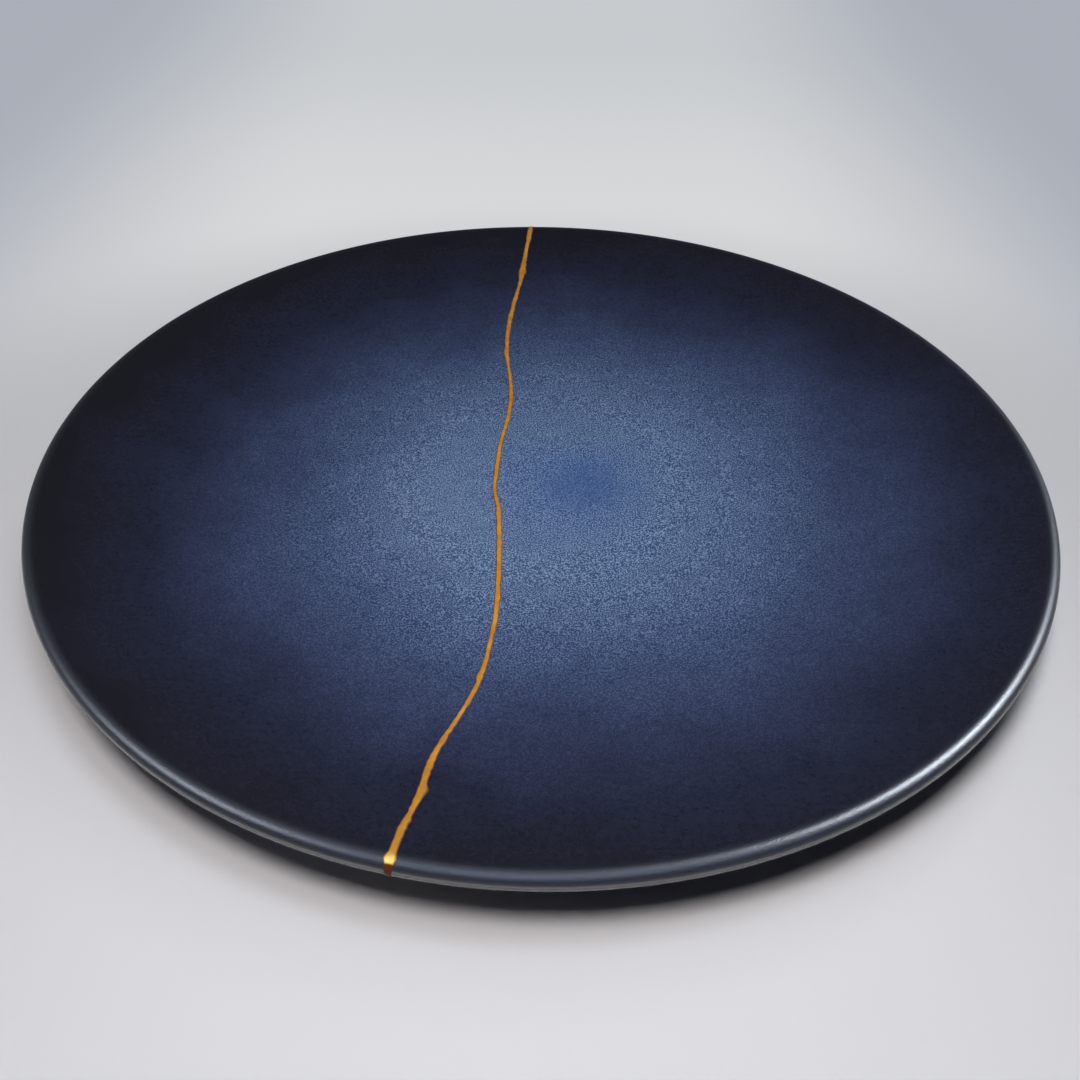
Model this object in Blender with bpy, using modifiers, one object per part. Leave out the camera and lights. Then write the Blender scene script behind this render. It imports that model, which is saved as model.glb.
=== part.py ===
"""Kintsugi plate: a coupe dinner plate in two sherds, joined by a gold seam.

The plate is one turned section. Each sherd is that section cut along the break, and the
seam is a slightly fuller copy of it, kept only inside the ribbon between the two sherds.
Units are metres, +Z is up, and the foot stands on z = 0 with the plate's axis on Z.
"""
import math

import bmesh
import bpy
import numpy as np

# Plate
PLATE_DIAMETER = 0.270
WELL_DEPTH = 0.0142          # how far the wall's middle climbs from the centre to the rim
WELL_CURVE = 3.2             # power of the climb: the floor stays flat, the edge turns up
BASE_THICKNESS = 0.0056
LIP_THICKNESS = 0.0048

# Foot ring
FOOT_DIAMETER = 0.142
FOOT_WIDTH = 0.0055
FOOT_HEIGHT = 0.0042
FOOT_ROUND = 0.0008          # bevel along both edges of the ring that touch the table
FOOT_FLARE = 0.0020          # how far the ring spreads where it meets the base

# Joint
SEAM_WIDTH = 0.0015          # the gold's width where BREAK_COURSE gives a share of 1
SEAM_RISE = 0.0003           # how far the gold stands above the glaze
SEAM_LIFT = 0.0003           # how far the gold stays off the table under the foot
JOINT_GAP = 0.0003           # clearance between the gold and each sherd

# Facets
TURN_STEPS = 96
WELL_RINGS = 10
RING_CROWDING = 0.72         # power below 1: the well's rings lie closer towards the rim
UNDERSIDE_RINGS = 5
BASE_RINGS = 3
LIP_FACETS = 6
SEAM_STATIONS = 132
SHARP_ANGLE = math.radians(35)
WELD_DISTANCE = 0.00001

# The break's course from the back rim to the front rim, seen from above. Each point is
# x and y as shares of the plate's radius, and the gold's width as a share of SEAM_WIDTH.
BREAK_COURSE = [
    (-0.036, 1.080, 1.30),
    (-0.045, 0.980, 1.30),
    (-0.059, 0.860, 1.15),
    (-0.063, 0.815, 1.70),
    (-0.068, 0.770, 0.95),
    (-0.079, 0.700, 1.10),
    (-0.088, 0.630, 1.20),
    (-0.093, 0.560, 1.10),
    (-0.092, 0.490, 0.90),
    (-0.087, 0.430, 0.60),
    (-0.079, 0.360, 0.80),
    (-0.076, 0.290, 0.95),
    (-0.082, 0.205, 0.80),
    (-0.091, 0.140, 0.75),
    (-0.097, 0.030, 0.85),
    (-0.098, -0.042, 0.62),
    (-0.089, -0.092, 0.92),
    (-0.084, -0.160, 0.95),
    (-0.079, -0.310, 0.92),
    (-0.080, -0.420, 0.90),
    (-0.086, -0.480, 0.72),
    (-0.093, -0.540, 0.90),
    (-0.106, -0.600, 0.85),
    (-0.134, -0.680, 0.80),
    (-0.158, -0.750, 1.05),
    (-0.168, -0.810, 1.05),
    (-0.178, -0.870, 1.02),
    (-0.189, -0.915, 1.22),
    (-0.196, -0.965, 1.10),
    (-0.204, -0.995, 1.30),
    (-0.222, -1.080, 1.30),
]

# Chips along the break that the gold fills too: their y as a share of the plate's radius,
# the side of the line they bite into (-1 left, 1 right), how deep they reach as a share of
# SEAM_WIDTH, and half their length along the line as a share of the plate's radius.
CHIPS = [
    (0.478, -1, 0.40, 0.021),
    (-0.566, -1, 0.33, 0.012),
    (-0.778, -1, 0.20, 0.012),
    (-0.829, 1, 0.47, 0.015),
    (-0.979, -1, 0.30, 0.012),
]

GLAZE = {"color": (0.030, 0.050, 0.120), "roughness": 0.32, "metallic": 0.0}
GOLD = {"color": (0.680, 0.330, 0.060), "roughness": 0.38, "metallic": 1.0}


def clear_scene():
    """Remove the objects that the open scene starts with."""
    for thing in list(bpy.data.objects):
        bpy.data.objects.remove(thing, do_unlink=True)


def new_collection(name):
    """Take the collection of this name, or make it, and show it in the scene."""
    group = bpy.data.collections.get(name) or bpy.data.collections.new(name)
    if name not in bpy.context.scene.collection.children:
        bpy.context.scene.collection.children.link(group)
    return group


def make_material(name, look):
    """One Principled surface from a colour, a roughness and a metallic value."""
    material = bpy.data.materials.new(name)
    material.use_nodes = True
    shader = material.node_tree.nodes["Principled BSDF"]
    shader.inputs["Base Color"].default_value = (*look["color"], 1.0)
    shader.inputs["Roughness"].default_value = look["roughness"]
    shader.inputs["Metallic"].default_value = look["metallic"]
    material.diffuse_color = (*look["color"], 1.0)
    return material


def wall_at(radius, rise):
    """Middle height, slope angle and half thickness of the wall at a radius.

    The middle height climbs as a power of the radius, and the thickness runs from the
    base's at the centre to the lip's at the rim. rise adds to both faces.
    """
    rim_middle = PLATE_DIAMETER / 2 - LIP_THICKNESS / 2
    share = radius / rim_middle
    height = FOOT_HEIGHT + BASE_THICKNESS / 2 + WELL_DEPTH * share ** WELL_CURVE
    slope = WELL_DEPTH * WELL_CURVE * share ** (WELL_CURVE - 1) / rim_middle
    thickness = BASE_THICKNESS + (LIP_THICKNESS - BASE_THICKNESS) * share ** 2
    return height, math.atan(slope), thickness / 2 + rise


def inner_point(radius, rise):
    """Point of the inner face, square to the wall's middle at that radius."""
    height, angle, half = wall_at(radius, rise)
    return radius - half * math.sin(angle), height + half * math.cos(angle)


def outer_point(radius, rise):
    """Point of the underside, square to the wall's middle at that radius."""
    height, angle, half = wall_at(radius, rise)
    return radius + half * math.sin(angle), height - half * math.cos(angle)


def lip_points(rise):
    """Half circle that closes the wall at the rim, from the inner face to the underside."""
    rim_middle = PLATE_DIAMETER / 2 - LIP_THICKNESS / 2
    height, angle, half = wall_at(rim_middle, rise)
    points = []
    for step in range(LIP_FACETS + 1):
        turn = angle + math.pi / 2 - math.pi * step / LIP_FACETS
        points.append((rim_middle + half * math.cos(turn), height + half * math.sin(turn)))
    return points


def foot_points(rise, lift):
    """Foot ring, from its outer root down to the table and up to its inner root."""
    outer = FOOT_DIAMETER / 2 + rise
    inner = FOOT_DIAMETER / 2 - FOOT_WIDTH - rise
    outer_root = outer + FOOT_FLARE
    inner_root = inner - FOOT_FLARE
    ring_round = min(FOOT_ROUND, FOOT_WIDTH / 4)
    waist = max(FOOT_HEIGHT / 2, ring_round + lift)
    return [
        outer_point(outer_root, rise),
        (outer, waist),
        (outer, lift + ring_round),
        (outer - ring_round, lift),
        (inner + ring_round, lift),
        (inner, lift + ring_round),
        (inner, waist),
        outer_point(inner_root, rise),
    ]


def plate_section(rise=0.0, lift=0.0):
    """Half section that runs from the axis in the well, over the lip, to the axis below."""
    rim_middle = PLATE_DIAMETER / 2 - LIP_THICKNESS / 2
    foot_root = FOOT_DIAMETER / 2 + rise + FOOT_FLARE
    base_edge = FOOT_DIAMETER / 2 - FOOT_WIDTH - rise - FOOT_FLARE
    section = []
    for ring in range(WELL_RINGS):
        share = (ring / WELL_RINGS) ** RING_CROWDING
        section.append(inner_point(rim_middle * share, rise))
    section.extend(lip_points(rise))
    for ring in range(1, UNDERSIDE_RINGS):
        share = ring / UNDERSIDE_RINGS
        section.append(outer_point(rim_middle + (foot_root - rim_middle) * share, rise))
    section.extend(foot_points(rise, lift))
    for ring in range(1, BASE_RINGS + 1):
        section.append(outer_point(base_edge * (1 - ring / BASE_RINGS), rise))
    return section


def turned_body(name, section, group, material):
    """Turn a section once round the Z axis into a closed body, shaded smooth."""
    profile = bpy.data.meshes.new(name + "_section")
    profile.from_pydata([(x, 0.0, z) for x, z in section],
                        [(i, i + 1) for i in range(len(section) - 1)], [])
    body = bpy.data.objects.new(name, profile)
    group.objects.link(body)
    screw = body.modifiers.new("turn", "SCREW")
    screw.axis = "Z"
    screw.angle = 2 * math.pi
    screw.steps = TURN_STEPS
    screw.render_steps = TURN_STEPS
    screw.use_merge_vertices = True
    screw.merge_threshold = WELD_DISTANCE
    bpy.context.view_layer.update()
    seen = body.evaluated_get(bpy.context.evaluated_depsgraph_get())
    turned = bpy.data.meshes.new_from_object(seen)
    turned.name = name
    turned.shade_smooth()
    turned.set_sharp_from_angle(angle=SHARP_ANGLE)
    turned.materials.append(material)
    body.modifiers.clear()
    body.data = turned
    bpy.data.meshes.remove(profile)
    return body


def break_line():
    """Centre points, side directions and the two half widths of the break at even stations.

    The course runs down the plate, so x and the width are smooth functions of y: each
    span is a cubic whose end slopes come from the points on either side of it. A chip
    widens one side by a bell curve.
    """
    plate_radius = PLATE_DIAMETER / 2
    course = np.array(BREAK_COURSE)
    down = -course[:, 1]
    slopes = np.gradient(course[:, [0, 2]], down, axis=0)
    at = np.linspace(down[0], down[-1], SEAM_STATIONS)
    span = np.clip(np.searchsorted(down, at, side="right") - 1, 0, len(down) - 2)
    length = down[span + 1] - down[span]
    t = (at - down[span]) / length
    start, end = course[span][:, [0, 2]], course[span + 1][:, [0, 2]]
    t, length = t[:, None], length[:, None]
    value = (start * (2 * t ** 3 - 3 * t ** 2 + 1) + end * (3 * t ** 2 - 2 * t ** 3)
             + slopes[span] * length * (t ** 3 - 2 * t ** 2 + t)
             + slopes[span + 1] * length * (t ** 3 - t ** 2))
    centre = np.column_stack([value[:, 0], -at]) * plate_radius
    along = np.gradient(centre, axis=0)
    along /= np.linalg.norm(along, axis=1)[:, None]
    side = np.column_stack([-along[:, 1], along[:, 0]])
    widths = {hand: value[:, 1] * SEAM_WIDTH / 2 for hand in (-1, 1)}
    for place, hand, reach, half_length in CHIPS:
        away = (-at - place) / half_length
        widths[hand] = widths[hand] + reach * SEAM_WIDTH * np.exp(-away ** 2)
    return centre, side, widths


def flat_cutter(name, outline, group):
    """Cutter with a flat outline, tall enough to pass right through the plate."""
    half_height = FOOT_HEIGHT + BASE_THICKNESS + WELL_DEPTH + LIP_THICKNESS
    curve = bpy.data.curves.new(name, "CURVE")
    curve.dimensions = "2D"
    curve.fill_mode = "BOTH"
    curve.extrude = half_height
    spline = curve.splines.new("POLY")
    spline.points.add(len(outline) - 1)
    for point, (x, y) in zip(spline.points, outline):
        point.co = (x, y, 0.0, 1.0)
    spline.use_cyclic_u = True
    drawn = bpy.data.objects.new(name + "_outline", curve)
    group.objects.link(drawn)
    bpy.context.view_layer.update()
    seen = drawn.evaluated_get(bpy.context.evaluated_depsgraph_get())
    mesh = bpy.data.meshes.new_from_object(seen)
    mesh.name = name
    solid = bmesh.new()
    solid.from_mesh(mesh)
    bmesh.ops.remove_doubles(solid, verts=solid.verts, dist=WELD_DISTANCE)
    bmesh.ops.recalc_face_normals(solid, faces=solid.faces)
    solid.to_mesh(mesh)
    solid.free()
    cutter = bpy.data.objects.new(name, mesh)
    cutter.matrix_world = drawn.matrix_world
    group.objects.link(cutter)
    bpy.data.objects.remove(drawn, do_unlink=True)
    cutter.hide_render = True
    cutter.display_type = "WIRE"
    return cutter


def keep_inside(body, cutter):
    """Keep only the part of a body that lies inside a cutter."""
    cut = body.modifiers.new("break", "BOOLEAN")
    cut.operation = "INTERSECT"
    cut.solver = "EXACT"
    cut.object = cutter


def seam_edge(centre, side, widths, hand, gap=0.0):
    """Edge of the gold on the left (-1) or right (1) hand, moved out by a gap."""
    return centre + side * hand * (widths[hand] + gap)[:, None]


def sherd_outline(edge, hand):
    """Region of one sherd: its broken edge, closed far outside the rim."""
    far = hand * PLATE_DIAMETER
    return [*map(tuple, edge), (far, edge[-1][1]), (far, edge[0][1])]


def build_plate():
    """Build both sherds and the gold seam between them."""
    clear_scene()
    plate_parts = new_collection("kintsugi_plate")
    cutters = new_collection("cutters")
    glaze = make_material("blue_glaze", GLAZE)
    gold = make_material("gold_lacquer", GOLD)
    centre, side, widths = break_line()

    for name, hand in (("left_sherd", -1), ("right_sherd", 1)):
        sherd = turned_body(name, plate_section(), plate_parts, glaze)
        outline = sherd_outline(seam_edge(centre, side, widths, hand, JOINT_GAP), hand)
        keep_inside(sherd, flat_cutter(name + "_cutter", outline, cutters))

    left_edge = seam_edge(centre, side, widths, -1)
    right_edge = seam_edge(centre, side, widths, 1)
    ribbon = [*map(tuple, left_edge), *map(tuple, right_edge[::-1])]
    section = plate_section(SEAM_RISE, SEAM_LIFT)
    seam = turned_body("gold_seam", section, plate_parts, gold)
    keep_inside(seam, flat_cutter("gold_seam_cutter", ribbon, cutters))


build_plate()
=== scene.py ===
import math

import bmesh
import bpy
import numpy as np
from mathutils import Matrix, Vector


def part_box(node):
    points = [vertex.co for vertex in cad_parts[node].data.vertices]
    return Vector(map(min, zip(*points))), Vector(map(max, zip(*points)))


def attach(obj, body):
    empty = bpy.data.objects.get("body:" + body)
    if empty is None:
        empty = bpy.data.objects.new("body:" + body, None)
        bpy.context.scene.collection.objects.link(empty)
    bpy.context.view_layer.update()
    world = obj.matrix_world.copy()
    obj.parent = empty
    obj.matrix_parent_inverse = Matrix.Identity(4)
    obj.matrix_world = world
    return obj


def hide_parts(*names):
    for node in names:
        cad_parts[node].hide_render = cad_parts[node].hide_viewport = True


# A coupe plate that broke in two and was mended with gold: two glazed sherds and the
# seam between them, each built over its own solid in the frame.
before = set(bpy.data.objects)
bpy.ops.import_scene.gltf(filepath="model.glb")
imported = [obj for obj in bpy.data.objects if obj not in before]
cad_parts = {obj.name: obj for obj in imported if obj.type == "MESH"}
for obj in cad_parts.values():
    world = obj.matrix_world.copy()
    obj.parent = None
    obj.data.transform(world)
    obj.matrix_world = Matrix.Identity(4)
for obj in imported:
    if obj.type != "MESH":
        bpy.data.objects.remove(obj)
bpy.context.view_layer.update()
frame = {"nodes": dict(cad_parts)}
print("frame loaded:", ", ".join(frame["nodes"]))


# The plate's turned section, in metres. Its radius comes from the frame.
plate = {
    "radius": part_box("right_sherd")[1][0],
    "wellDepth": 0.0142,        # climb of the wall's middle from the centre to the rim
    "wellCurve": 3.2,           # power of that climb
    "baseThickness": 0.0056,
    "lipThickness": 0.0048,
    "footRadius": 0.0710,
    "footWidth": 0.0055,
    "footHeight": 0.0042,
    "footRound": 0.0008,        # radius of the sole's two edges
    "footFlare": 0.0020,        # how far the ring spreads at its root
    "innerZone": 0.060,         # inside this radius the mesh follows the break, outside it the rings
}

# The break and its gold. Each point of the course is x and y as shares of the plate's radius
# and the gold's width as a share of its usual width, from the back rim to the front rim.
seam = {
    "width": 0.0015,            # the gold's usual width, in metres
    "rise": 0.00024,            # crown of the gold above the glaze
    "lift": 0.00002,            # daylight between the gold's skirt and the glaze
    "stem": 0.00022,            # half width of the lacquer inside the break
    "gap": 0.00003,             # clearance between the lacquer and each sherd
    "course": (
        (-0.036, 1.080, 1.30), (-0.045, 0.980, 1.30), (-0.059, 0.860, 1.15),
        (-0.063, 0.815, 1.70), (-0.068, 0.770, 0.95), (-0.079, 0.700, 1.10),
        (-0.088, 0.630, 1.20), (-0.093, 0.560, 1.10), (-0.092, 0.490, 0.90),
        (-0.087, 0.430, 0.74), (-0.079, 0.360, 0.90), (-0.076, 0.290, 1.05),
        (-0.082, 0.205, 0.95), (-0.091, 0.140, 0.90), (-0.097, 0.030, 1.00),
        (-0.098, -0.042, 0.78), (-0.089, -0.092, 1.02), (-0.084, -0.160, 1.05),
        (-0.079, -0.310, 1.02), (-0.080, -0.420, 1.00), (-0.086, -0.480, 0.84),
        (-0.093, -0.540, 0.90), (-0.106, -0.600, 0.85), (-0.134, -0.680, 0.80),
        (-0.158, -0.750, 1.05), (-0.168, -0.810, 1.05), (-0.178, -0.870, 1.02),
        (-0.189, -0.915, 1.22), (-0.196, -0.965, 1.10), (-0.204, -0.995, 1.30),
        (-0.222, -1.080, 1.30),
    ),
    # chips filled with gold: y as a share of the radius, side (-1 left, 1 right), reach as
    # a share of the width, and half length as a share of the radius
    "chips": (
        (0.478, -1, 0.40, 0.021),
        (-0.566, -1, 0.33, 0.012),
        (-0.778, -1, 0.20, 0.012),
        (-0.829, 1, 0.47, 0.015),
        (-0.970, -1, 0.38, 0.011),
        (-0.970, 1, 0.34, 0.011),
    ),
}


# Section of the plate

def rimMiddle():
    # radius of the lip's middle, half its thickness inside the plate's edge
    return plate["radius"] - plate["lipThickness"] / 2


def wallAt(radius):
    # middle height climbs with a power of the radius, the slope is its derivative, and the
    # thickness runs from the base's to the lip's with the square of the radius
    share = radius / rimMiddle()
    climb, power = plate["wellDepth"], plate["wellCurve"]
    height = plate["footHeight"] + plate["baseThickness"] / 2 + climb * share ** power
    slope = np.arctan(climb * power * share ** (power - 1) / rimMiddle())
    thick = plate["baseThickness"] + (plate["lipThickness"] - plate["baseThickness"]) * share ** 2
    return height, slope, thick / 2


def wallFace(radius, up):
    # a point of the inner face (up = 1) or the underside (up = -1), square to the middle
    height, slope, half = wallAt(radius)
    return np.stack([radius - up * half * np.sin(slope), height + up * half * np.cos(slope)], -1)


def quadratic(start, corner, end, count):
    # quadratic Bezier: (1-t)^2 start + 2t(1-t) corner + t^2 end
    t = np.linspace(0, 1, count)[:, None]
    return (1 - t) ** 2 * start + 2 * t * (1 - t) * corner + t ** 2 * end


def footSide(outward, count):
    # one side of the foot ring from its root at the base down to the middle of its sole:
    # a hollow sweep, a straight flank, a quarter round and half the flat sole
    edge = plate["footRadius"] if outward > 0 else plate["footRadius"] - plate["footWidth"]
    middle = plate["footRadius"] - plate["footWidth"] / 2
    bend = plate["footRound"]
    root = wallFace(np.array(edge + outward * plate["footFlare"]), -1)
    waist = np.array([edge, plate["footHeight"] / 2])
    sweep = quadratic(root, np.array([edge, root[1]]), waist, count // 2)
    turn = np.linspace(0, math.pi / 2, count // 4)
    corner = np.stack([edge - outward * bend * (1 - np.cos(turn)), bend * (1 - np.sin(turn))], -1)
    rest = count - len(sweep) - len(corner)
    sole = np.linspace(corner[-1], [middle, 0.0], rest + 1)[1:]
    return np.concatenate([sweep, corner, sole])


def halfSections(wallSteps, lipSteps, footSteps):
    # the inner face and the underside, each from the inner zone out to the lip's equator,
    # with the same number of points, so that point i of one faces point i of the other
    top = rimMiddle()
    height, slope, half = wallAt(np.array(top))
    t = np.linspace(0, 1, lipSteps + 1)[1:]

    def lipArc(start):
        # a round end from the face's own direction to level
        angle = start * (1 - t)
        return np.stack([top + half * np.cos(angle), height + half * np.sin(angle)], -1)

    wallCount = wallSteps + 2 * footSteps
    out = np.linspace(plate["innerZone"], top, wallCount)
    inner = np.concatenate([wallFace(out, 1), lipArc(slope + math.pi / 2)])
    innerRoot = plate["footRadius"] - plate["footWidth"] - plate["footFlare"]
    outerRoot = plate["footRadius"] + plate["footFlare"]
    baseSteps = max(4, wallSteps // 20)     # a short way from the inner zone to the foot
    base = wallFace(np.linspace(plate["innerZone"], innerRoot, baseSteps + 1)[:-1], -1)
    ring = np.concatenate([footSide(-1, footSteps), footSide(1, footSteps)[-2::-1]])
    wallLeft = wallCount - len(base) - len(ring)
    wall = wallFace(np.linspace(outerRoot, top, wallLeft + 1)[1:], -1)
    under = np.concatenate([base, ring, wall, lipArc(slope - math.pi / 2)])
    return inner, under


def faceHeight(radius, up):
    # height of a face over any plan radius inside the inner zone, read back from the section
    along = np.linspace(0, plate["innerZone"] * 1.05, 4000)
    face = wallFace(along, up)
    return np.interp(radius, face[:, 0], face[:, 1])


# Course of the break

def breakCourse(count=6000):
    # x and width as smooth functions of y: cubic spans whose end slopes come from the
    # neighbouring points
    course = np.array(seam["course"])
    down = -course[:, 1]
    slopes = np.gradient(course[:, [0, 2]], down, axis=0)
    at = np.linspace(down[0], down[-1], count)
    span = np.clip(np.searchsorted(down, at, side="right") - 1, 0, len(down) - 2)
    length = (down[span + 1] - down[span])[:, None]
    t = (at - down[span])[:, None] / length
    value = (course[span][:, [0, 2]] * (2 * t ** 3 - 3 * t ** 2 + 1)
             + course[span + 1][:, [0, 2]] * (3 * t ** 2 - 2 * t ** 3)
             + slopes[span] * length * (t ** 3 - 2 * t ** 2 + t)
             + slopes[span + 1] * length * (t ** 3 - t ** 2))
    centre = np.stack([value[:, 0], -at], -1) * plate["radius"]
    along = np.gradient(centre, axis=0)
    along /= np.linalg.norm(along, axis=1)[:, None]
    side = np.stack([-along[:, 1], along[:, 0]], -1)
    return centre, side, value[:, 1] * seam["width"] / 2


def crossings(line, radii):
    # where a line that runs from the back rim to the front rim crosses circles round the
    # axis: the angles of its back crossing and of its front crossing at each radius
    radius = np.hypot(line[:, 0], line[:, 1])
    turn = np.arctan2(line[:, 1], line[:, 0])
    near = int(np.argmin(radius))
    backTurn = np.where(turn[:near + 1] < 0, turn[:near + 1] + 2 * math.pi, turn[:near + 1])
    frontTurn = np.where(turn[near:] > 0, turn[near:] - 2 * math.pi, turn[near:])
    back = np.interp(radii, radius[:near + 1][::-1], backTurn[::-1])
    front = np.interp(radii, radius[near:], frontTurn)
    return back, front


def stretch(line, radius, count):
    # the line's points between its crossings of a circle, evenly spaced down the plate
    back, front = crossings(line, np.array([radius]))
    ends = radius * np.sin([back[0], front[0]])
    y = np.linspace(ends[0], ends[1], count)
    x = np.interp(-y, -line[:, 1], line[:, 0])
    x[0], x[-1] = radius * np.cos(back[0]), radius * np.cos(front[0])
    return np.stack([x, y], -1)


# Meshes

closing = {
    "weld": 1e-6,               # points nearer than this become one, in metres
    "collapse": 1e-7,           # faces with shorter edges than this go
}


def gridFaces(index):
    # quads between neighbours of a table of point numbers
    return np.stack([index[:-1, :-1], index[1:, :-1], index[1:, 1:], index[:-1, 1:]], -1).reshape(-1, 4)


def makePiece(name, points, faces, sharp, marks=None):
    # puts points and quads into a mesh, welds what meets and turns the faces outwards;
    # marks gives each point a number for its material
    mesh = bpy.data.meshes.new(name)
    mesh.from_pydata(points.tolist(), [], faces.tolist())
    if marks is not None:
        layer = mesh.attributes.new("brushEdge", "FLOAT", "POINT")
        layer.data.foreach_set("value", marks.astype(np.float32))
    body = bmesh.new()
    body.from_mesh(mesh)
    bmesh.ops.remove_doubles(body, verts=body.verts, dist=closing["weld"])
    bmesh.ops.dissolve_degenerate(body, edges=body.edges, dist=closing["collapse"])
    bmesh.ops.recalc_face_normals(body, faces=body.faces)
    if body.calc_volume(signed=True) < 0:
        bmesh.ops.reverse_faces(body, faces=body.faces)
    loose = sum(1 for edge in body.edges if not edge.is_manifold)
    print(name, len(body.verts), "points,", len(body.faces), "faces,", loose, "open edges")
    body.to_mesh(mesh)
    body.free()
    mesh.shade_smooth()
    mesh.set_sharp_from_angle(angle=math.radians(sharp))
    piece = bpy.data.objects.new(name, mesh)
    bpy.context.collection.objects.link(piece)
    return piece


sherdMesh = {
    "wallSteps": 46,            # points along the wall, beside those of the foot's two sides
    "lipSteps": 20,             # points along each half of the lip's round
    "footSteps": 16,            # points along each side of the foot
    "aroundSteps": 220,         # points round each ring
    "patchSteps": 36,           # rows from the break to the first ring
    "sharpAngle": 40,           # degrees
}


def sherd(name, hand):
    # one sherd: rings of the section between the two ends of the break, and inside the
    # inner zone straight rulings from the break's edge to the first ring
    centre, side, _ = breakCourse()
    edge = centre + side * hand * (seam["stem"] + seam["gap"])
    inner, under = halfSections(sherdMesh["wallSteps"], sherdMesh["lipSteps"], sherdMesh["footSteps"])
    count = sherdMesh["aroundSteps"]
    v = np.linspace(0, 1, count)

    def band(section):
        # each point of the section swept round the axis, from one end of the break to the other
        back, front = crossings(edge, section[:, 0])
        start, end = (front, back) if hand > 0 else (back, front + 2 * math.pi)
        turn = start[:, None] + (end - start)[:, None] * v
        radius = section[:, 0][:, None]
        height = np.broadcast_to(section[:, 1][:, None], turn.shape)
        return np.stack([radius * np.cos(turn), radius * np.sin(turn), height], -1)

    def patch(ring, up):
        # (1-s) of the break's edge plus s of the ring, lifted to the face's height
        line = stretch(edge, np.hypot(*ring[0, :2]), count)
        line = line[::-1] if hand > 0 else line
        s = np.linspace(0, 1, sherdMesh["patchSteps"])[:, None, None]
        plan = line * (1 - s) + ring[None, :, :2] * s
        height = faceHeight(np.hypot(plan[..., 0], plan[..., 1]), up)
        height[-1] = ring[:, 2]
        return np.concatenate([plan, height[..., None]], -1)

    innerBand, underBand = band(inner), band(under)
    innerPatch, underPatch = patch(innerBand[0], 1), patch(underBand[0], -1)
    grids = [innerBand, underBand, innerPatch, underPatch]
    grids.append(np.stack([innerBand[:, 0], underBand[:, 0]]))
    grids.append(np.stack([innerBand[:, -1], underBand[:, -1]]))
    grids.append(np.stack([innerPatch[0], underPatch[0]]))
    points, faces, used = [], [], 0
    for grid in grids:
        index = used + np.arange(grid.shape[0] * grid.shape[1]).reshape(grid.shape[:2])
        points.append(grid.reshape(-1, 3))
        faces.append(gridFaces(index))
        used += index.size
    return makePiece(name, np.concatenate(points), np.concatenate(faces), sherdMesh["sharpAngle"])


goldMesh = {
    "wallSteps": 150,           # as for the sherds
    "lipSteps": 26,
    "footSteps": 34,
    "middleSteps": 330,         # points along the line inside the inner zone
    "acrossSteps": 17,          # points across the line
    "nickSize": 0.16,           # how far its edges wander, as a share of its half width
    "nickWaves": (0.013, 0.002),    # longest and shortest wave of that, in metres
    "lumpSize": 0.25,           # how much its thickness varies along the line
    "lumpWaves": (0.016, 0.002),
    "lumpBase": 0.62,           # share of the crown at the lip, where there are no lumps
    "lumpFade": 0.008,          # metres inside the lip over which the lumps die away
    "lipFrom": 0.988,           # share of the radius from which the line narrows
    "lipFade": 0.006,
    "lipNarrowing": 0.4,        # share of its width that it loses over the lip
    "chipBelow": 0.3,           # how much of each chip shows on the underside
    "footClear": 0.0003,        # below this height there is no gold, in metres
    "footFade": 0.0010,
    "footSink": 0.00012,        # how far the lacquer lies inside the clay under the foot
    "upright": 0.35,            # level share of the path's direction below which it stands upright
    "square": 2.6,              # power of the crown: higher is flatter with rounder edges
    "crowding": 0.55,           # power below 1: the points across lie closer at both edges
    "tuck": 0.00001,            # how far below the skirt the stem starts
    "sharpAngle": 50,           # degrees
}


def waver(distance, seed, longest, shortest, count=14):
    # a sum of sines along the line with random phases, about one high at its peaks
    rng = np.random.default_rng(seed)
    waves = np.geomspace(longest, shortest, count)
    phase = rng.uniform(0, 2 * math.pi, count)
    size = rng.uniform(0.4, 1.0, count)
    total = (size * np.sin(2 * math.pi * distance[:, None] / waves + phase)).sum(1)
    return total / np.sqrt((size ** 2).sum() / 2) / 1.6


def goldLoop():
    # the closed path of the gold: down the inner face, round the front lip, back along the
    # underside and up over the back lip. Half of it is the inner face, and point i of that
    # half faces point i of the other
    centre, side, half = breakCourse()
    inner, under = halfSections(goldMesh["wallSteps"], goldMesh["lipSteps"], goldMesh["footSteps"])

    def path(section, up):
        # in from the back lip where the break crosses each ring, down its middle and out again
        back, front = crossings(centre, section[:, 0])
        parts = []
        for turn in (back, front):
            parts.append(np.stack([section[:, 0] * np.cos(turn), section[:, 0] * np.sin(turn),
                                   section[:, 1]], -1))
        middle = stretch(centre, section[0, 0], goldMesh["middleSteps"])
        height = faceHeight(np.hypot(middle[:, 0], middle[:, 1]), up)
        middle = np.concatenate([middle, height[:, None]], -1)[1:-1]
        return np.concatenate([parts[0][::-1], middle, parts[1]])

    top, bottom = path(inner, 1), path(under, -1)
    loop = np.concatenate([top, bottom[-2:0:-1]])
    ahead = np.roll(loop, -1, 0) - np.roll(loop, 1, 0)
    ahead /= np.linalg.norm(ahead, axis=1)[:, None]
    radial = loop[:, :2] / np.hypot(loop[:, 0], loop[:, 1])[:, None]
    return loop, len(top), ahead, radial, (centre, half)


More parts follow.
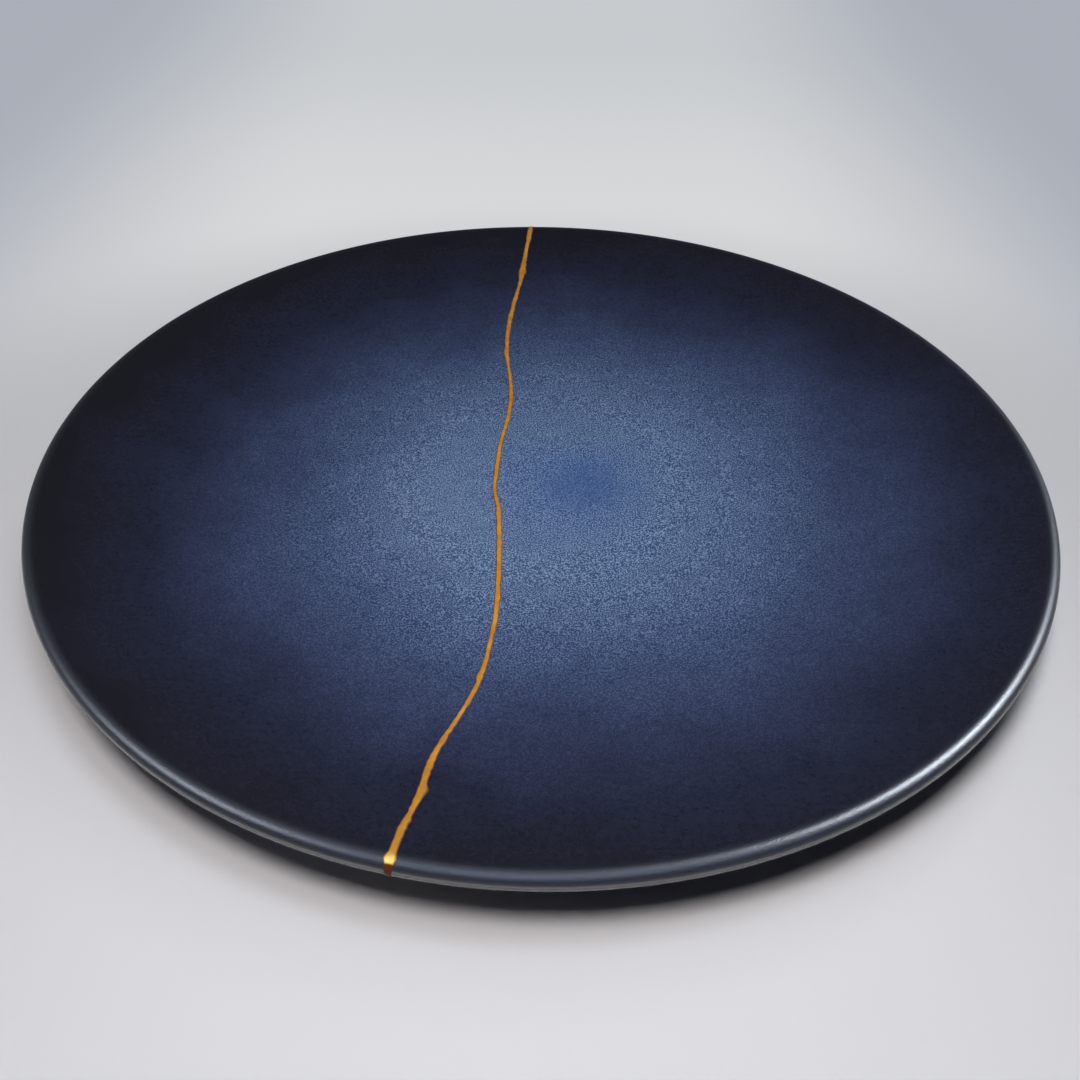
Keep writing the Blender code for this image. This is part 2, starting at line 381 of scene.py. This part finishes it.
def acrossAndOut(loop, ahead, radial):
    # across is level and square to the path, and out is square to both; where the path
    # stands upright at the lip, across takes the rim's own direction
    flat = np.zeros(len(loop))
    across = np.stack([-ahead[:, 1], ahead[:, 0], flat], -1)
    level = np.linalg.norm(across[:, :2], axis=1)
    rim = np.stack([-radial[:, 1], radial[:, 0], flat], -1)
    rim *= np.sign(rim[:, :1])
    isLevel = level[:, None] > goldMesh["upright"]
    across = np.where(isLevel, across / np.maximum(level, 1e-9)[:, None], rim)
    across *= np.sign(across[:, :1])
    out = np.cross(ahead, across)
    out /= np.linalg.norm(out, axis=1)[:, None]
    return np.cross(out, ahead), out


def brushReach(loop, isTop, along, course):
    # how far the gold reaches to each side of the path: half the course's width, wandering
    # along each edge, narrower over the lip, and wider by a bell curve at each chip
    centre, half = course
    width = np.interp(-loop[:, 1], -centre[:, 1], half)
    place = loop[:, 1] / plate["radius"]
    share = np.hypot(loop[:, 0], loop[:, 1]) / plate["radius"]
    beyond = np.clip((share - goldMesh["lipFrom"]) / goldMesh["lipFade"], 0, 1)
    reach = {}
    for hand, seed in ((-1, 11), (1, 23)):
        wander = waver(along, seed, *goldMesh["nickWaves"])
        narrowed = width * (1 - goldMesh["lipNarrowing"] * beyond)
        reach[hand] = narrowed * (1 + goldMesh["nickSize"] * wander)
        for y, chipHand, depth, length in seam["chips"]:
            if chipHand == hand:
                bite = depth * seam["width"] * np.exp(-((place - y) / length) ** 2)
                reach[hand] = reach[hand] + np.where(isTop, bite, goldMesh["chipBelow"] * bite)
    return reach


def goldFaces(count, topCount, columns):
    # the brushed skin round the whole loop, a skirt from each of its edges to the stem, and
    # the stem's two sides through the wall, from the inner face to the underside
    closed = np.append(np.arange(count), 0)
    leftStem, rightStem = count * columns + closed, count * (columns + 1) + closed
    faces = [
        gridFaces(closed[:, None] * columns + np.arange(columns)[None]),
        gridFaces(np.stack([leftStem, closed * columns], -1)),
        gridFaces(np.stack([closed * columns + columns - 1, rightStem], -1)),
    ]
    topRow = np.arange(topCount)
    partner = (count - topRow) % count      # the point of the underside that faces each one
    for start in (count * columns, count * (columns + 1)):
        faces.append(gridFaces(np.stack([start + topRow, start + partner], -1)))
    return np.concatenate(faces)


def goldSeam(name):
    loop, topCount, ahead, radial, course = goldLoop()
    count = len(loop)
    isTop = np.arange(count) < topCount
    across, out = acrossAndOut(loop, ahead, radial)
    along = np.concatenate([[0.0], np.cumsum(np.linalg.norm(np.diff(loop, axis=0), axis=1))])
    reach = brushReach(loop, isTop, along, course)

    # near the lip the lumps die away, so that the gold stays inside the solid's outline
    calm = np.clip((rimMiddle() - np.hypot(loop[:, 0], loop[:, 1])) / goldMesh["lumpFade"], 0, 1)
    lumps = goldMesh["lumpSize"] * waver(along, 37, *goldMesh["lumpWaves"])
    lump = goldMesh["lumpBase"] + calm * (1 - goldMesh["lumpBase"] + lumps)

    # under the foot the gold shrinks to the break itself and stays off the table
    low = np.clip((loop[:, 2] - goldMesh["footClear"]) / goldMesh["footFade"], 0, 1)
    shown = np.where(isTop, 1.0, low * low * (3 - 2 * low))
    crown = seam["rise"] * lump * shown
    skirt = (seam["lift"] * shown - goldMesh["footSink"] * (1 - shown))[:, None]
    for hand in reach:
        reach[hand] = seam["stem"] + (reach[hand] - seam["stem"]) * shown

    # across the line: a level crown that falls off at both edges as a superellipse
    columns = goldMesh["acrossSteps"]
    cosine = np.cos(np.linspace(math.pi, 0, columns))
    q = np.sign(cosine) * np.abs(cosine) ** goldMesh["crowding"]
    rise = (1 - np.minimum(np.abs(q), 1) ** goldMesh["square"]) ** 0.5
    reachAt = np.where(q[None] < 0, reach[-1][:, None], reach[1][:, None]) * q[None]
    lift = skirt + crown[:, None] * rise[None]
    skin = loop[:, None] + across[:, None] * reachAt[..., None] + out[:, None] * lift[..., None]
    stems = [loop + across * hand * seam["stem"] + out * (skirt - goldMesh["tuck"]) for hand in (-1, 1)]

    points = np.concatenate([skin.reshape(-1, 3), *stems])
    marks = np.concatenate([np.tile(np.abs(q), count), np.ones(2 * count)])
    return makePiece(name, points, goldFaces(count, topCount, columns), goldMesh["sharpAngle"], marks)


print("building sherds")
leftSherd = sherd("glazed_left_sherd", -1)
rightSherd = sherd("glazed_right_sherd", 1)
print("building the gold")
goldLine = goldSeam("gold_lacquer_line")


# Materials

def newMaterial(name):
    material = bpy.data.materials.new(name)
    material.use_nodes = True
    tree = material.node_tree
    return material, tree, tree.nodes["Principled BSDF"]


def feed(tree, socket, value):
    # a socket takes either another node's output or a plain value
    if isinstance(value, bpy.types.NodeSocket):
        tree.links.new(value, socket)
    else:
        socket.default_value = value


def calc(tree, operation, first, second=0.0, clamp=False):
    node = tree.nodes.new("ShaderNodeMath")
    node.operation = operation
    node.use_clamp = clamp
    feed(tree, node.inputs[0], first)
    feed(tree, node.inputs[1], second)
    return node.outputs[0]


def spread(tree, value, low, high, newLow=0.0, newHigh=1.0, smooth=False):
    node = tree.nodes.new("ShaderNodeMapRange")
    node.interpolation_type = "SMOOTHSTEP" if smooth else "LINEAR"
    feed(tree, node.inputs["Value"], value)
    for name, number in (("From Min", low), ("From Max", high), ("To Min", newLow), ("To Max", newHigh)):
        node.inputs[name].default_value = number
    return node.outputs["Result"]


def noise(tree, vector, size, detail=2.0, roughness=0.5):
    # size is the width of its grains in millimetres
    node = tree.nodes.new("ShaderNodeTexNoise")
    tree.links.new(vector, node.inputs["Vector"])
    node.inputs["Scale"].default_value = 1 / size
    node.inputs["Detail"].default_value = detail
    node.inputs["Roughness"].default_value = roughness
    return node.outputs["Fac"]


def ramp(tree, value, stops):
    node = tree.nodes.new("ShaderNodeValToRGB")
    tree.links.new(value, node.inputs["Fac"])
    marks = node.color_ramp.elements
    marks[0].position, marks[1].position = stops[0][0], stops[-1][0]
    for place, _ in stops[1:-1]:
        marks.new(place)
    for mark, (_, tint) in zip(marks, stops):
        mark.color = (*tint, 1)
    return node.outputs["Color"]


def blend(tree, share, first, second):
    node = tree.nodes.new("ShaderNodeMix")
    node.data_type = "RGBA"
    feed(tree, node.inputs["Factor"], share)
    for socket, tint in zip((node.inputs[6], node.inputs[7]), (first, second)):
        feed(tree, socket, tint if isinstance(tint, bpy.types.NodeSocket) else (*tint, 1))
    return node.outputs[2]


def millimetres(tree):
    # the object's own coordinates in millimetres, whole and as x, y, z
    place = tree.nodes.new("ShaderNodeTexCoord")
    scale = tree.nodes.new("ShaderNodeVectorMath")
    scale.operation = "SCALE"
    scale.inputs["Scale"].default_value = 1000
    tree.links.new(place.outputs["Object"], scale.inputs[0])
    apart = tree.nodes.new("ShaderNodeSeparateXYZ")
    tree.links.new(scale.outputs[0], apart.inputs[0])
    return scale.outputs[0], apart.outputs


def bump(tree, shader, height, distance):
    node = tree.nodes.new("ShaderNodeBump")
    node.inputs["Distance"].default_value = distance
    node.inputs["Strength"].default_value = 1.0
    tree.links.new(height, node.inputs["Height"])
    tree.links.new(node.outputs["Normal"], shader.inputs["Normal"])


def distanceFrom(tree, x, y, centre):
    # plan distance from a point given in shares of the plate's radius, itself as such a share
    size = plate["radius"] * 1000
    across = calc(tree, "SUBTRACT", x, centre[0] * size)
    along = calc(tree, "SUBTRACT", y, centre[1] * size)
    squares = calc(tree, "ADD", calc(tree, "MULTIPLY", across, across), calc(tree, "MULTIPLY", along, along))
    return calc(tree, "DIVIDE", calc(tree, "SQRT", squares), size)


# The glaze: rings of tint round a centre a little right of the axis and towards the viewer.
# Each ring is a share of the radius, the tint between the grains and the tint of the grains.
# Sizes are in millimetres, and a name that ends in Range gives the two values between which
# a fade or a noise runs from none to all.
glazeLook = {
    "centre": (0.045, -0.025),
    "rings": (
        (0.00, (0.022, 0.062, 0.198), (0.180, 0.285, 0.530)),
        (0.22, (0.032, 0.072, 0.178), (0.250, 0.345, 0.550)),
        (0.32, (0.034, 0.068, 0.168), (0.222, 0.305, 0.485)),
        (0.44, (0.031, 0.057, 0.142), (0.152, 0.212, 0.360)),
        (0.57, (0.027, 0.043, 0.100), (0.082, 0.110, 0.222)),
        (0.70, (0.0190, 0.0265, 0.063), (0.047, 0.058, 0.124)),
        (0.83, (0.0112, 0.0138, 0.0290), (0.0262, 0.0298, 0.062)),
        (1.00, (0.0092, 0.0096, 0.0140), (0.0175, 0.0172, 0.0250)),
    ),
    "ringWander": 0.05,         # how far the rings stray, as a share of the radius
    "wanderSize": 26,
    "wanderRange": (0.25, 0.75),
    "grainSize": 0.38,
    "grainRange": (0.455, 0.625),
    "mottleSize": 1.2,
    "mottleRange": (0.26, 0.76),
    "mottleShare": 0.65,        # how far the coarser mottle takes over from the grain at the rim
    "outerRange": (0.50, 0.85),     # shares of the radius over which it does
    "cloudSize": 5.0,
    "noiseRange": (0.3, 0.7),       # for the clouds and the clay's edge
    "cloudShare": 0.14,
    # the deeper blue spot, and a pale patch that is painted sheen: place and size as shares of the
    # radius, how far it covers the rings, and its tint
    "deepSpot": ((0.089, -0.020), (0.030, 0.120), 0.50, (0.048, 0.098, 0.250)),
    "paintedSheenPatch": ((-0.13, -0.09), (0.0, 0.32), 0.06, (0.40, 0.45, 0.55)),
    "underTint": (0.0085, 0.0110, 0.0210),
    "underSpeck": (0.0160, 0.0200, 0.0360),
    "underRange": (-0.6, 0.8),      # how far below the wall's middle the underside begins
    "clayTint": (0.24, 0.175, 0.125),
    "claySpeck": (0.30, 0.21875, 0.15625),
    "clayTop": 0.9,             # bare clay below this height
    "clayBlur": 0.12,
    "clayWander": 0.25,
    "clayDry": 0.4,             # how much rougher the clay is
    # roughness by share of the radius: smooth face, dry lip, smooth edge
    "roughness": ((0.000, 0.20), (0.970, 0.20), (0.982, 0.40), (0.994, 0.43), (0.999, 0.15)),
    "lipFloorReflection": (0.125, 0.125, 0.120),   # a painted reflection of the pale floor on the lip's outer edge
    "paintedLipRange": (0.9986, 0.9996),
    "lipHighlightTint": (0.040, 0.046, 0.066),  # a painted highlight: lighter over the whole lip's top
    "paintedLightRange": (0.976, 0.988),
    "lipHighlightShare": 0.40,
    "pitSize": 0.40,
    "pitDepth": 0.000010,       # metres
    "lipPits": 6.0,             # how much deeper the pits are on the lip
    "pitRange": (0.968, 0.984),
}


def glazeGrain(tree, place, rings, look):
    # 0 between the grains, 1 on them: fine grains in the well, a coarser mottle at the rim
    # and soft clouds over both
    grain = spread(tree, noise(tree, place, look["grainSize"], 1, 0.5), *look["grainRange"])
    mottle = spread(tree, noise(tree, place, look["mottleSize"], 3, 0.55), *look["mottleRange"])
    outer = spread(tree, rings, *look["outerRange"], 0.0, look["mottleShare"])
    grain = calc(tree, "ADD", calc(tree, "MULTIPLY", grain, calc(tree, "SUBTRACT", 1.0, outer)),
                 calc(tree, "MULTIPLY", mottle, outer))
    cloud = spread(tree, noise(tree, place, look["cloudSize"], 3, 0.6), *look["noiseRange"], -0.5, 0.5)
    return grain, calc(tree, "ADD", grain, calc(tree, "MULTIPLY", cloud, look["cloudShare"]), clamp=True)


def underWall(tree, radius, z, look):
    # 0 on the inner face, 1 on the underside: how far a point lies below the wall's middle
    climb = calc(tree, "MULTIPLY", calc(tree, "POWER", radius, plate["wellCurve"]), plate["wellDepth"] * 1000)
    middle = calc(tree, "ADD", climb, (plate["footHeight"] + plate["baseThickness"] / 2) * 1000)
    return spread(tree, calc(tree, "SUBTRACT", middle, z), *look["underRange"], smooth=True)


def makeGlaze(look):
    material, tree, shader = newMaterial("blueGlaze")
    place, (x, y, z) = millimetres(tree)
    radius = distanceFrom(tree, x, y, (0, 0))
    wander = noise(tree, place, look["wanderSize"], 3)
    stray = spread(tree, wander, *look["wanderRange"], -look["ringWander"], look["ringWander"])
    rings = calc(tree, "ADD", distanceFrom(tree, x, y, look["centre"]), stray)
    grain, share = glazeGrain(tree, place, rings, look)
    tint = blend(tree, share,
                 ramp(tree, rings, [(stop, low) for stop, low, _ in look["rings"]]),
                 ramp(tree, rings, [(stop, high) for stop, _, high in look["rings"]]))
    # the deeper blue spot, then a pale grey-blue patch painted on as sheen
    for centre, reach, strength, patchTint in (look["deepSpot"], look["paintedSheenPatch"]):
        patch = spread(tree, distanceFrom(tree, x, y, centre), *reach, strength, 0.0, smooth=True)
        tint = blend(tree, patch, tint, patchTint)

    # a painted highlight over the lip's top, a painted reflection of the floor at its outer edge, and plainer
    # on the underside
    lipHighlight = spread(tree, radius, *look["paintedLightRange"], 0.0, look["lipHighlightShare"], smooth=True)
    tint = blend(tree, lipHighlight, tint, look["lipHighlightTint"])
    # the lip's outer edge is painted with a reflection of the pale floor
    tint = blend(tree, spread(tree, radius, *look["paintedLipRange"], smooth=True), tint, look["lipFloorReflection"])
    plain = blend(tree, share, look["underTint"], look["underSpeck"])
    tint = blend(tree, underWall(tree, radius, z, look), tint, plain)

    # bare clay on the foot's sole, with an uneven edge
    clayStray = spread(tree, wander, *look["noiseRange"], -look["clayWander"], look["clayWander"])
    clay = spread(tree, calc(tree, "ADD", z, clayStray), look["clayTop"] - look["clayBlur"],
                  look["clayTop"] + look["clayBlur"], 1.0, 0.0, smooth=True)
    tint = blend(tree, clay, tint, blend(tree, grain, look["clayTint"], look["claySpeck"]))
    tree.links.new(tint, shader.inputs["Base Color"])

    gloss = ramp(tree, radius, [(stop, (rough,) * 3) for stop, rough in look["roughness"]])
    gloss = calc(tree, "ADD", gloss, calc(tree, "MULTIPLY", clay, look["clayDry"]))
    tree.links.new(gloss, shader.inputs["Roughness"])
    pits = noise(tree, place, look["pitSize"], 2, 0.6)
    deeper = spread(tree, radius, *look["pitRange"], 1.0, 1.0 + look["lipPits"])
    bump(tree, shader, calc(tree, "MULTIPLY", pits, deeper), look["pitDepth"])
    return material


# The gold: metal powder over lacquer, so part of it reflects and part scatters
goldLook = {
    "tints": ((0.0, (0.37, 0.138, 0.012)), (0.45, (0.47, 0.200, 0.020)), (1.0, (0.60, 0.300, 0.042))),
    "lacquer": (0.095, 0.026, 0.007),   # dark red-brown towards the line's edges, and painted shade on the lip's outside
    # a lighter gold, painted as a highlight where the line turns over the lip
    "paintedHighlightGold": (0.90, 0.50, 0.12),
    "patchSize": 4.0,
    "edgeDarkRange": (0.50, 0.95),      # shares of the half width over which it darkens towards the lacquer
    "edgeDarkShare": 0.9,
    "paintedLipRange": (0.9925, 0.9955),   # shares of the radius over which it gives way to painted shade on the lip's outside
    # how far it is bare metal, by share of the radius: most where it turns over the lip, where the same share
    # also blends in a tint painted lighter as a highlight
    "metal": ((0.000, 0.08), (0.979, 0.08), (0.984, 0.95), (0.9925, 0.95), (0.9950, 0.08)),
    "shine": 0.15,              # low, because powder is duller than a smooth coat
    "roughness": (0.46, 0.60),
    "noiseRange": (0.3, 0.7),
    "grainSize": 0.35,
    "grainDepth": 0.000030,     # metres
}


def makeGold(look):
    material, tree, shader = newMaterial("goldLacquer")
    place, (x, y, _) = millimetres(tree)
    radius = distanceFrom(tree, x, y, (0, 0))
    patches = spread(tree, noise(tree, place, look["patchSize"], 4, 0.65), *look["noiseRange"])
    tint = ramp(tree, patches, look["tints"])
    metal = ramp(tree, radius, [(stop, (part,) * 3) for stop, part in look["metal"]])
    # where the line turns over the lip its tint is painted lighter, as a highlight
    tint = blend(tree, metal, tint, look["paintedHighlightGold"])
    # darker, towards the lacquer's red-brown, near both edges of the line, and painted shade in the lacquer's
    # dark red on the lip's outside
    edge = tree.nodes.new("ShaderNodeAttribute")
    edge.attribute_name = "brushEdge"
    towardEdges = spread(tree, edge.outputs["Fac"], *look["edgeDarkRange"], 0.0, look["edgeDarkShare"], smooth=True)
    lip = spread(tree, radius, *look["paintedLipRange"], smooth=True)
    tint = blend(tree, calc(tree, "MAXIMUM", towardEdges, lip), tint, look["lacquer"])
    tree.links.new(tint, shader.inputs["Base Color"])
    tree.links.new(metal, shader.inputs["Metallic"])
    shader.inputs["Specular IOR Level"].default_value = look["shine"]
    grain = noise(tree, place, look["grainSize"], 3, 0.6)
    rough = spread(tree, grain, *look["noiseRange"], *look["roughness"])
    tree.links.new(rough, shader.inputs["Roughness"])
    bump(tree, shader, grain, look["grainDepth"])
    return material


print("making the glaze and the gold's finish")
glaze = makeGlaze(glazeLook)
gold = makeGold(goldLook)

for piece, node, material, slot in (
    (leftSherd, "left_sherd", glaze, "blue_glaze"),
    (rightSherd, "right_sherd", glaze, "blue_glaze"),
    (goldLine, "gold_seam", gold, "gold_lacquer"),
):
    piece.data.materials.append(material)
    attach(piece, "root")
    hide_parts(node)


# Floor, lights and camera

# Pale paper near the plate. Away from it the paper gives way to a glow, painted light in place of
# lamplight, painted darker towards the back and the sides as falloff; near the camera the paper is
# painted darker as shade, and behind the plate it is a little lighter and bluer. Ranges are in
# millimetres, apart from the glow's range of distances, which is in shares of the plate's radius.
floorLook = {
    "size": 40.0,               # metres
    "tint": (0.700, 0.693, 0.742),
    # paper painted darker near the camera, as shade
    "paintedShadeNear": (0.590, 0.582, 0.632),
    "paintedShadeRange": (-155, -200),
    "tintBack": (0.700, 0.712, 0.755),
    "backRange": (0, 150),
    # the far floor's glow, painted light, and below it its painted falloff towards the back and the sides
    "paintedGlow": (0.690, 0.695, 0.705),
    "glowCentre": (0, -0.5),
    "paintedLightRange": (1.05, 2.10),
    "glowFalloffBack": (0.570, 0.595, 0.620),
    "glowFalloffBackRange": (150, 450),
    "glowFalloffSides": (0.400, 0.425, 0.480),
    "glowMiddle": -10,
    "glowFalloffSidesRange": (88, 280),
}


def makeFloor(look):
    bpy.ops.mesh.primitive_plane_add(size=look["size"])
    plane = bpy.context.active_object
    plane.name = "floor"
    paper, tree, shader = newMaterial("palePaper")
    shader.inputs["Roughness"].default_value = 0.8
    shader.inputs["Specular IOR Level"].default_value = 0.0
    _, (x, y, _) = millimetres(tree)
    # away from the plate the paper turns into a glow, painted light in place of lamplight
    paintedGlow = spread(tree, distanceFrom(tree, x, y, look["glowCentre"]), *look["paintedLightRange"], smooth=True)
    # near the camera the paper is painted darker, as shade
    near = spread(tree, y, *look["paintedShadeRange"], smooth=True)
    far = spread(tree, y, *look["backRange"], smooth=True)
    tint = blend(tree, near, look["tint"], look["paintedShadeNear"])
    tint = blend(tree, far, tint, look["tintBack"])
    tree.links.new(blend(tree, paintedGlow, tint, (0, 0, 0)), shader.inputs["Base Color"])
    # the glow is painted darker behind the plate and at the sides, as falloff
    behind = spread(tree, y, *look["glowFalloffBackRange"], smooth=True)
    aside = calc(tree, "ABSOLUTE", calc(tree, "SUBTRACT", x, look["glowMiddle"]))
    aside = spread(tree, aside, *look["glowFalloffSidesRange"], smooth=True)
    glow = blend(tree, behind, look["paintedGlow"], look["glowFalloffBack"])
    tree.links.new(blend(tree, aside, glow, look["glowFalloffSides"]), shader.inputs["Emission Color"])
    tree.links.new(paintedGlow, shader.inputs["Emission Strength"])
    plane.data.materials.append(paper)
    return plane


print("setting up the floor, the lights and the camera")
floor = makeFloor(floorLook)

# Round softboxes that look at the plate: azimuth and elevation in degrees, where 0 is the
# viewer's side and 90 the right, distance in metres, watts, width in metres, tint, and
# whether it only fills, without showing in the gloss, or only shines
softboxes = {
    "keyLight": (-6, 58.5, 0.45, 1.08, 0.090, (1, 0.955, 0.90), "fills"),
    "topLight": (14, 70, 0.45, 0.62, 0.130, (0.90, 0.975, 1), "fills"),
    "sideLight": (75, 80, 0.45, 0.12, 0.150, (0.90, 0.97, 1), "fills"),
    "leftLight": (-48, 47, 0.90, 0.15, 0.200, (0.95, 0.98, 1), "fills"),
    "backLight": (135, 64, 0.60, 0.26, 0.160, (0.88, 0.96, 1), "fills"),
    "frontGlint": (0, 51, 0.45, 0.72, 0.260, (0.58, 0.72, 1), "shines"),
    "rightGlint": (96, 44, 0.90, 22.0, 0.180, (0.82, 0.90, 1), "shines"),
    "leftGlint": (-68, 40, 0.90, 7.0, 0.220, (0.80, 0.88, 1), "shines"),
}


def addSoftbox(name, azimuth, elevation, distance, strength, size, tint, use):
    lamp = bpy.data.lights.new(name, "AREA")
    lamp.shape = "DISK"
    lamp.energy = strength
    lamp.size = size
    lamp.color = tint
    softbox = bpy.data.objects.new(name, lamp)
    a, e = math.radians(azimuth), math.radians(elevation)
    back = Vector((math.sin(a) * math.cos(e), -math.cos(a) * math.cos(e), math.sin(e)))
    softbox.location = back * distance
    softbox.rotation_mode = "QUATERNION"
    softbox.rotation_quaternion = back.to_track_quat("Z", "Y")
    softbox.visible_camera = False
    softbox.visible_diffuse = use == "fills"
    softbox.visible_glossy = use == "shines"
    bpy.context.collection.objects.link(softbox)


for name, setting in softboxes.items():
    addSoftbox(name, *setting)

room = {
    "toPlate": (0.012, 0.0125, 0.014),      # the room is dim to the plate and pale to the camera
    "toCamera": (0.40, 0.425, 0.48),
}


def makeRoom(look):
    world = bpy.data.worlds.new("studio")
    bpy.context.scene.world = world
    world.use_nodes = True
    tree = world.node_tree
    paths = tree.nodes.new("ShaderNodeLightPath")
    tint = blend(tree, paths.outputs["Is Camera Ray"], look["toPlate"], look["toCamera"])
    tree.links.new(tint, tree.nodes["Background"].inputs["Color"])


view = {
    "place": (0.0, -0.23757, 0.19651),
    "aim": (-0.00027, -0.03891, 0.0212),
    "roll": 1.067,              # degrees; the plate's right side sits lower in the picture
    "lens": 35.419,
    "sensor": 36,
}


def makeCamera(look):
    optics = bpy.data.cameras.new("camera")
    optics.lens = look["lens"]
    optics.sensor_width = look["sensor"]
    camera = bpy.data.objects.new("camera", optics)
    bpy.context.collection.objects.link(camera)
    forward = (Vector(look["aim"]) - Vector(look["place"])).normalized()
    right = forward.cross(Vector((0, 0, 1))).normalized()
    right.rotate(Matrix.Rotation(-math.radians(look["roll"]), 3, forward))
    turn = Matrix((right, right.cross(forward), -forward)).transposed()
    camera.matrix_world = Matrix.Translation(Vector(look["place"])) @ turn.to_4x4()
    return camera


makeRoom(room)
bpy.context.scene.view_settings.view_transform = "Standard"
bpy.context.scene.camera = makeCamera(view)
